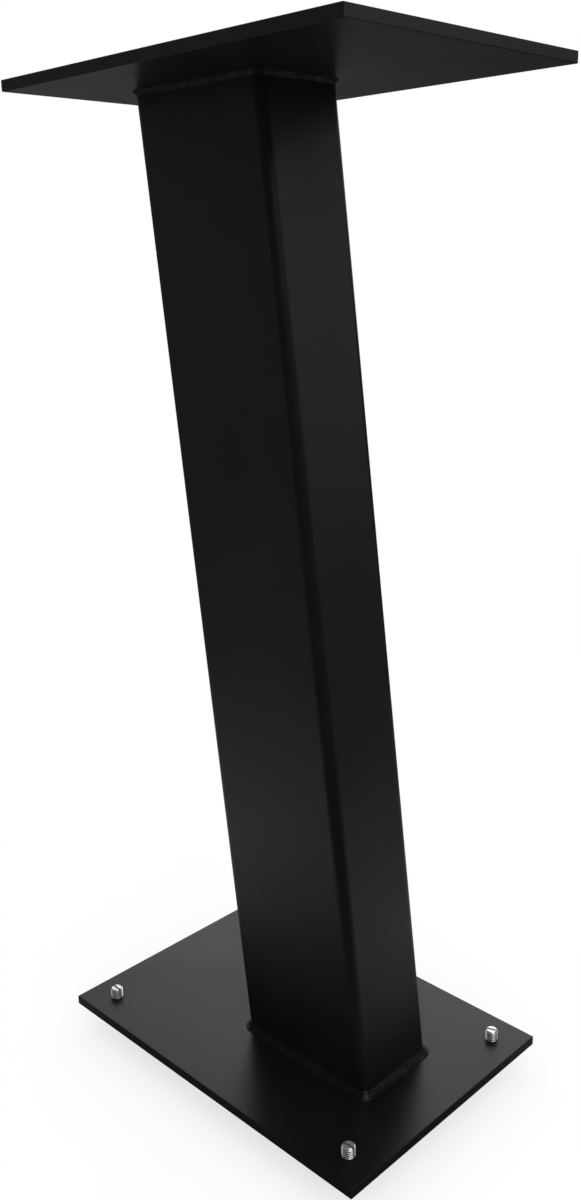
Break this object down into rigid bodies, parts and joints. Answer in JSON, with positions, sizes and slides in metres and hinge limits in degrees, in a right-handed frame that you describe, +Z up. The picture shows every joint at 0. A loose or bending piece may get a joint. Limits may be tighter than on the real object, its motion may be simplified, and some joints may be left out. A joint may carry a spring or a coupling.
{
  "type": "speaker stand",
  "caption": "Welded steel floor stand: rectangular base and top plates joined by a leaning box-section column, on slotted levelling spikes.",
  "frame": {"origin": "on the floor under the middle of the base plate, level with the spikes' points at rest", "axes": "+Z up; +X to the right, along the plates' short side; +Y to the back, along their long side, the way the column leans"},
  "size_m": [0.175, 0.25, 0.6],
  "materials": {
    "plate_coat": "satin black powder coat, fine orange peel",
    "column_coat": "satin black powder coat, fine orange peel",
    "weld_coat": "the same powder coat, flowed over a rippled bead",
    "spike_steel": "bright turned steel",
    "nut_steel": "zinc-plated steel"
  },
  "bodies": {
    "frame": {"base_plate": "plate_coat", "top_plate": "plate_coat", "column": "column_coat", "base_weld_front": "weld_coat", "base_weld_right": "weld_coat", "base_weld_back": "weld_coat", "base_weld_left": "weld_coat", "top_weld_front": "weld_coat", "top_weld_right": "weld_coat", "top_weld_back": "weld_coat", "top_weld_left": "weld_coat", "jam_nut_front_left": "nut_steel", "jam_nut_front_right": "nut_steel", "jam_nut_back_left": "nut_steel", "jam_nut_back_right": "nut_steel"},
    "spike_front_left": {"spike_front_left": "spike_steel"},
    "spike_front_right": {"spike_front_right": "spike_steel"},
    "spike_back_left": {"spike_back_left": "spike_steel"},
    "spike_back_right": {"spike_back_right": "spike_steel"}
  },
  "joints": [
    {"name": "level_front_left", "type": "slide", "parent": "frame", "child": "spike_front_left", "axis": [0, 0, 1], "range_m": [-0.005, 0.005]},
    {"name": "level_front_right", "type": "slide", "parent": "frame", "child": "spike_front_right", "axis": [0, 0, 1], "range_m": [-0.005, 0.005]},
    {"name": "level_back_left", "type": "slide", "parent": "frame", "child": "spike_back_left", "axis": [0, 0, 1], "range_m": [-0.005, 0.005]},
    {"name": "level_back_right", "type": "slide", "parent": "frame", "child": "spike_back_right", "axis": [0, 0, 1], "range_m": [-0.005, 0.005]}
  ]
}
